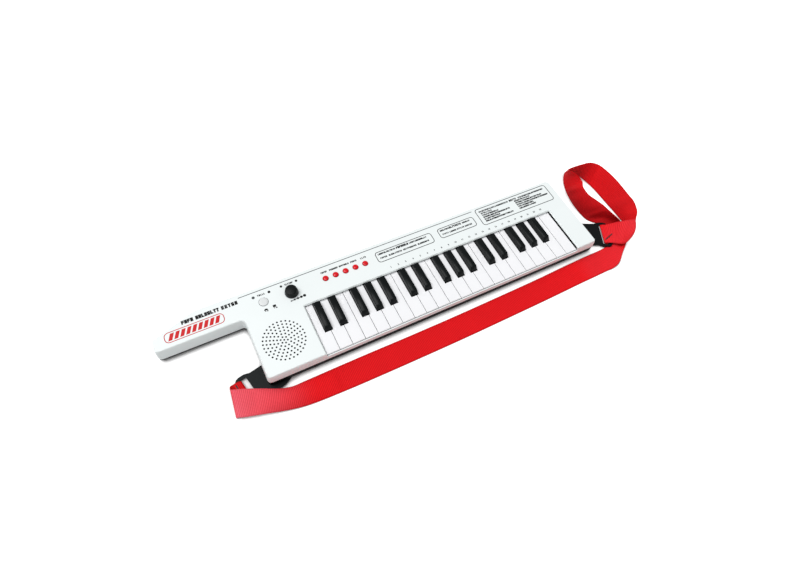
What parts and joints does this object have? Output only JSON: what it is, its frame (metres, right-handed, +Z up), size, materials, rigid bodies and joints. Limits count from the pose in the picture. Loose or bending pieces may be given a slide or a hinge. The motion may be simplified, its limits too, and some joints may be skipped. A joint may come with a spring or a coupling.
{
  "type": "keytar",
  "caption": "Flat toy keytar: mini keyboard with a tapered neck, round speaker grille, knob, push buttons and a webbing shoulder strap on swivelling lugs.",
  "frame": {"origin": "centre of the instrument's bounding box, strap left out, on the table under its feet", "axes": "+X along the keyboard towards the high keys, +Y from the key fronts to the back, +Z up out of the keys"},
  "size_m": [0.8124, 0.2174, 0.0395],
  "materials": {
    "white_shell": "satin moulded ABS",
    "white_button": "satin moulded ABS",
    "black_shell": "fine matt moulded ABS",
    "inner_frame": "moulded ABS",
    "white_key": "smooth moulded ABS",
    "black_key": "smooth moulded ABS",
    "red_button": "smooth moulded ABS",
    "black_knob": "satin moulded ABS",
    "black_lug": "moulded nylon",
    "steel": "zinc plated",
    "circuit_board": "solder mask",
    "rubber": "moulded silicone",
    "speaker_cone": "coated paper",
    "webbing": "woven polypropylene webbing"
  },
  "bodies": {
    "instrument": {"top_cover": "white_shell", "lower_case": "black_shell", "key_frame": "inner_frame", "key_axle": "steel", "key_contact_board": "circuit_board", "rubber_contact_strip": "rubber", "main_board": "circuit_board", "volume_pot": "steel", "speaker": "speaker_cone", "mic_jack": "black_shell", "lug_screw_left": "steel", "lug_screw_right": "steel", "strap": "webbing"},
    "white_key_01": {"white_key_01": "white_key"},
    "white_key_02": {"white_key_02": "white_key"},
    "white_key_03": {"white_key_03": "white_key"},
    "white_key_04": {"white_key_04": "white_key"},
    "white_key_05": {"white_key_05": "white_key"},
    "white_key_06": {"white_key_06": "white_key"},
    "white_key_07": {"white_key_07": "white_key"},
    "white_key_08": {"white_key_08": "white_key"},
    "white_key_09": {"white_key_09": "white_key"},
    "white_key_10": {"white_key_10": "white_key"},
    "white_key_11": {"white_key_11": "white_key"},
    "white_key_12": {"white_key_12": "white_key"},
    "white_key_13": {"white_key_13": "white_key"},
    "white_key_14": {"white_key_14": "white_key"},
    "white_key_15": {"white_key_15": "white_key"},
    "white_key_16": {"white_key_16": "white_key"},
    "white_key_17": {"white_key_17": "white_key"},
    "white_key_18": {"white_key_18": "white_key"},
    "white_key_19": {"white_key_19": "white_key"},
    "white_key_20": {"white_key_20": "white_key"},
    "white_key_21": {"white_key_21": "white_key"},
    "white_key_22": {"white_key_22": "white_key"},
    "black_key_01": {"black_key_01": "black_key"},
    "black_key_02": {"black_key_02": "black_key"},
    "black_key_03": {"black_key_03": "black_key"},
    "black_key_04": {"black_key_04": "black_key"},
    "black_key_05": {"black_key_05": "black_key"},
    "black_key_06": {"black_key_06": "black_key"},
    "black_key_07": {"black_key_07": "black_key"},
    "black_key_08": {"black_key_08": "black_key"},
    "black_key_09": {"black_key_09": "black_key"},
    "black_key_10": {"black_key_10": "black_key"},
    "black_key_11": {"black_key_11": "black_key"},
    "black_key_12": {"black_key_12": "black_key"},
    "black_key_13": {"black_key_13": "black_key"},
    "black_key_14": {"black_key_14": "black_key"},
    "black_key_15": {"black_key_15": "black_key"},
    "function_button_1": {"function_button_1": "red_button"},
    "function_button_2": {"function_button_2": "red_button"},
    "function_button_3": {"function_button_3": "red_button"},
    "function_button_4": {"function_button_4": "red_button"},
    "function_button_5": {"function_button_5": "red_button"},
    "power_button": {"power_button": "white_button"},
    "volume_knob": {"volume_knob": "black_knob"},
    "battery_door": {"battery_door": "black_shell"},
    "strap_lug_left": {"strap_lug_left": "black_lug"},
    "strap_lug_right": {"strap_lug_right": "black_lug"}
  },
  "joints": [
    {"name": "strap_lug_left_swivel", "type": "hinge", "parent": "instrument", "child": "strap_lug_left", "pos_m": [-0.22045, -0.0434, 0.0035], "axis": [0, 0, 1], "range_deg": [-45, 45], "deforming": ["strap"]},
    {"name": "strap_lug_right_swivel", "type": "hinge", "parent": "instrument", "child": "strap_lug_right", "pos_m": [0.30395, -0.0216, 0.0035], "axis": [0, 0, 1], "range_deg": [-45, 45], "deforming": ["strap"]},
    {"name": "volume_turn", "type": "hinge", "parent": "instrument", "child": "volume_knob", "pos_m": [-0.17265, 0.05023, 0.035], "axis": [0, 0, 1], "range_deg": [-140, 140]},
    {"name": "power_press", "type": "slide", "parent": "instrument", "child": "power_button", "axis": [0, 0, -1], "range_m": [0, 0.0012], "stiffness_N_per_m": 300, "springref_m": -0.0008},
    {"name": "function_press_1", "type": "slide", "parent": "instrument", "child": "function_button_1", "axis": [0, 0, -1], "range_m": [0, 0.0012], "stiffness_N_per_m": 250, "springref_m": -0.0008},
    {"name": "function_press_2", "type": "slide", "parent": "instrument", "child": "function_button_2", "axis": [0, 0, -1], "range_m": [0, 0.0012], "stiffness_N_per_m": 250, "springref_m": -0.0008},
    {"name": "function_press_3", "type": "slide", "parent": "instrument", "child": "function_button_3", "axis": [0, 0, -1], "range_m": [0, 0.0012], "stiffness_N_per_m": 250, "springref_m": -0.0008},
    {"name": "function_press_4", "type": "slide", "parent": "instrument", "child": "function_button_4", "axis": [0, 0, -1], "range_m": [0, 0.0012], "stiffness_N_per_m": 250, "springref_m": -0.0008},
    {"name": "function_press_5", "type": "slide", "parent": "instrument", "child": "function_button_5", "axis": [0, 0, -1], "range_m": [0, 0.0012], "stiffness_N_per_m": 250, "springref_m": -0.0008},
    {"name": "battery_door_hinge", "type": "hinge", "parent": "instrument", "child": "battery_door", "pos_m": [0.04855, 0.0732, 0.0074], "axis": [1, 0, 0], "range_deg": [0, 80]},
    {"name": "white_key_01_hinge", "type": "hinge", "parent": "instrument", "child": "white_key_01", "pos_m": [-0.15345, 0.03903, 0.0195], "axis": [1, 0, 0], "range_deg": [0, 2], "stiffness_Nm_per_rad": 0.4, "springref_deg": -6.88},
    {"name": "white_key_02_hinge", "type": "hinge", "parent": "instrument", "child": "white_key_02", "pos_m": [-0.13345, 0.03903, 0.0195], "axis": [1, 0, 0], "range_deg": [0, 2], "stiffness_Nm_per_rad": 0.4, "springref_deg": -6.88},
    {"name": "white_key_03_hinge", "type": "hinge", "parent": "instrument", "child": "white_key_03", "pos_m": [-0.11345, 0.03903, 0.0195], "axis": [1, 0, 0], "range_deg": [0, 2], "stiffness_Nm_per_rad": 0.4, "springref_deg": -6.88},
    {"name": "white_key_04_hinge", "type": "hinge", "parent": "instrument", "child": "white_key_04", "pos_m": [-0.09345, 0.03903, 0.0195], "axis": [1, 0, 0], "range_deg": [0, 2], "stiffness_Nm_per_rad": 0.4, "springref_deg": -6.88},
    {"name": "white_key_05_hinge", "type": "hinge", "parent": "instrument", "child": "white_key_05", "pos_m": [-0.07345, 0.03903, 0.0195], "axis": [1, 0, 0], "range_deg": [0, 2], "stiffness_Nm_per_rad": 0.4, "springref_deg": -6.88},
    {"name": "white_key_06_hinge", "type": "hinge", "parent": "instrument", "child": "white_key_06", "pos_m": [-0.05345, 0.03903, 0.0195], "axis": [1, 0, 0], "range_deg": [0, 2], "stiffness_Nm_per_rad": 0.4, "springref_deg": -6.88},
    {"name": "white_key_07_hinge", "type": "hinge", "parent": "instrument", "child": "white_key_07", "pos_m": [-0.03345, 0.03903, 0.0195], "axis": [1, 0, 0], "range_deg": [0, 2], "stiffness_Nm_per_rad": 0.4, "springref_deg": -6.88},
    {"name": "white_key_08_hinge", "type": "hinge", "parent": "instrument", "child": "white_key_08", "pos_m": [-0.01345, 0.03903, 0.0195], "axis": [1, 0, 0], "range_deg": [0, 2], "stiffness_Nm_per_rad": 0.4, "springref_deg": -6.88},
    {"name": "white_key_09_hinge", "type": "hinge", "parent": "instrument", "child": "white_key_09", "pos_m": [0.00655, 0.03903, 0.0195], "axis": [1, 0, 0], "range_deg": [0, 2], "stiffness_Nm_per_rad": 0.4, "springref_deg": -6.88},
    {"name": "white_key_10_hinge", "type": "hinge", "parent": "instrument", "child": "white_key_10", "pos_m": [0.02655, 0.03903, 0.0195], "axis": [1, 0, 0], "range_deg": [0, 2], "stiffness_Nm_per_rad": 0.4, "springref_deg": -6.88},
    {"name": "white_key_11_hinge", "type": "hinge", "parent": "instrument", "child": "white_key_11", "pos_m": [0.04655, 0.03903, 0.0195], "axis": [1, 0, 0], "range_deg": [0, 2], "stiffness_Nm_per_rad": 0.4, "springref_deg": -6.88},
    {"name": "white_key_12_hinge", "type": "hinge", "parent": "instrument", "child": "white_key_12", "pos_m": [0.06655, 0.03903, 0.0195], "axis": [1, 0, 0], "range_deg": [0, 2], "stiffness_Nm_per_rad": 0.4, "springref_deg": -6.88},
    {"name": "white_key_13_hinge", "type": "hinge", "parent": "instrument", "child": "white_key_13", "pos_m": [0.08655, 0.03903, 0.0195], "axis": [1, 0, 0], "range_deg": [0, 2], "stiffness_Nm_per_rad": 0.4, "springref_deg": -6.88},
    {"name": "white_key_14_hinge", "type": "hinge", "parent": "instrument", "child": "white_key_14", "pos_m": [0.10655, 0.03903, 0.0195], "axis": [1, 0, 0], "range_deg": [0, 2], "stiffness_Nm_per_rad": 0.4, "springref_deg": -6.88},
    {"name": "white_key_15_hinge", "type": "hinge", "parent": "instrument", "child": "white_key_15", "pos_m": [0.12655, 0.03903, 0.0195], "axis": [1, 0, 0], "range_deg": [0, 2], "stiffness_Nm_per_rad": 0.4, "springref_deg": -6.88},
    {"name": "white_key_16_hinge", "type": "hinge", "parent": "instrument", "child": "white_key_16", "pos_m": [0.14655, 0.03903, 0.0195], "axis": [1, 0, 0], "range_deg": [0, 2], "stiffness_Nm_per_rad": 0.4, "springref_deg": -6.88},
    {"name": "white_key_17_hinge", "type": "hinge", "parent": "instrument", "child": "white_key_17", "pos_m": [0.16655, 0.03903, 0.0195], "axis": [1, 0, 0], "range_deg": [0, 2], "stiffness_Nm_per_rad": 0.4, "springref_deg": -6.88},
    {"name": "white_key_18_hinge", "type": "hinge", "parent": "instrument", "child": "white_key_18", "pos_m": [0.18655, 0.03903, 0.0195], "axis": [1, 0, 0], "range_deg": [0, 2], "stiffness_Nm_per_rad": 0.4, "springref_deg": -6.88},
    {"name": "white_key_19_hinge", "type": "hinge", "parent": "instrument", "child": "white_key_19", "pos_m": [0.20655, 0.03903, 0.0195], "axis": [1, 0, 0], "range_deg": [0, 2], "stiffness_Nm_per_rad": 0.4, "springref_deg": -6.88},
    {"name": "white_key_20_hinge", "type": "hinge", "parent": "instrument", "child": "white_key_20", "pos_m": [0.22655, 0.03903, 0.0195], "axis": [1, 0, 0], "range_deg": [0, 2], "stiffness_Nm_per_rad": 0.4, "springref_deg": -6.88},
    {"name": "white_key_21_hinge", "type": "hinge", "parent": "instrument", "child": "white_key_21", "pos_m": [0.24655, 0.03903, 0.0195], "axis": [1, 0, 0], "range_deg": [0, 2], "stiffness_Nm_per_rad": 0.4, "springref_deg": -6.88},
    {"name": "white_key_22_hinge", "type": "hinge", "parent": "instrument", "child": "white_key_22", "pos_m": [0.26655, 0.03903, 0.0195], "axis": [1, 0, 0], "range_deg": [0, 2], "stiffness_Nm_per_rad": 0.4, "springref_deg": -6.88},
    {"name": "black_key_01_hinge", "type": "hinge", "parent": "instrument", "child": "black_key_01", "pos_m": [-0.14625, 0.03903, 0.0195], "axis": [1, 0, 0], "range_deg": [0, 2], "stiffness_Nm_per_rad": 0.4, "springref_deg": -6.88},
    {"name": "black_key_02_hinge", "type": "hinge", "parent": "instrument", "child": "black_key_02", "pos_m": [-0.12225, 0.03903, 0.0195], "axis": [1, 0, 0], "range_deg": [0, 2], "stiffness_Nm_per_rad": 0.4, "springref_deg": -6.88},
    {"name": "black_key_03_hinge", "type": "hinge", "parent": "instrument", "child": "black_key_03", "pos_m": [-0.08765, 0.03903, 0.0195], "axis": [1, 0, 0], "range_deg": [0, 2], "stiffness_Nm_per_rad": 0.4, "springref_deg": -6.88},
    {"name": "black_key_04_hinge", "type": "hinge", "parent": "instrument", "child": "black_key_04", "pos_m": [-0.06425, 0.03903, 0.0195], "axis": [1, 0, 0], "range_deg": [0, 2], "stiffness_Nm_per_rad": 0.4, "springref_deg": -6.88},
    {"name": "black_key_05_hinge", "type": "hinge", "parent": "instrument", "child": "black_key_05", "pos_m": [-0.04105, 0.03903, 0.0195], "axis": [1, 0, 0], "range_deg": [0, 2], "stiffness_Nm_per_rad": 0.4, "springref_deg": -6.88},
    {"name": "black_key_06_hinge", "type": "hinge", "parent": "instrument", "child": "black_key_06", "pos_m": [-0.00625, 0.03903, 0.0195], "axis": [1, 0, 0], "range_deg": [0, 2], "stiffness_Nm_per_rad": 0.4, "springref_deg": -6.88},
    {"name": "black_key_07_hinge", "type": "hinge", "parent": "instrument", "child": "black_key_07", "pos_m": [0.01775, 0.03903, 0.0195], "axis": [1, 0, 0], "range_deg": [0, 2], "stiffness_Nm_per_rad": 0.4, "springref_deg": -6.88},
    {"name": "black_key_08_hinge", "type": "hinge", "parent": "instrument", "child": "black_key_08", "pos_m": [0.05235, 0.03903, 0.0195], "axis": [1, 0, 0], "range_deg": [0, 2], "stiffness_Nm_per_rad": 0.4, "springref_deg": -6.88},
    {"name": "black_key_09_hinge", "type": "hinge", "parent": "instrument", "child": "black_key_09", "pos_m": [0.07575, 0.03903, 0.0195], "axis": [1, 0, 0], "range_deg": [0, 2], "stiffness_Nm_per_rad": 0.4, "springref_deg": -6.88},
    {"name": "black_key_10_hinge", "type": "hinge", "parent": "instrument", "child": "black_key_10", "pos_m": [0.09895, 0.03903, 0.0195], "axis": [1, 0, 0], "range_deg": [0, 2], "stiffness_Nm_per_rad": 0.4, "springref_deg": -6.88},
    {"name": "black_key_11_hinge", "type": "hinge", "parent": "instrument", "child": "black_key_11", "pos_m": [0.13375, 0.03903, 0.0195], "axis": [1, 0, 0], "range_deg": [0, 2], "stiffness_Nm_per_rad": 0.4, "springref_deg": -6.88},
    {"name": "black_key_12_hinge", "type": "hinge", "parent": "instrument", "child": "black_key_12", "pos_m": [0.15775, 0.03903, 0.0195], "axis": [1, 0, 0], "range_deg": [0, 2], "stiffness_Nm_per_rad": 0.4, "springref_deg": -6.88},
    {"name": "black_key_13_hinge", "type": "hinge", "parent": "instrument", "child": "black_key_13", "pos_m": [0.19235, 0.03903, 0.0195], "axis": [1, 0, 0], "range_deg": [0, 2], "stiffness_Nm_per_rad": 0.4, "springref_deg": -6.88},
    {"name": "black_key_14_hinge", "type": "hinge", "parent": "instrument", "child": "black_key_14", "pos_m": [0.21575, 0.03903, 0.0195], "axis": [1, 0, 0], "range_deg": [0, 2], "stiffness_Nm_per_rad": 0.4, "springref_deg": -6.88},
    {"name": "black_key_15_hinge", "type": "hinge", "parent": "instrument", "child": "black_key_15", "pos_m": [0.23895, 0.03903, 0.0195], "axis": [1, 0, 0], "range_deg": [0, 2], "stiffness_Nm_per_rad": 0.4, "springref_deg": -6.88}
  ]
}
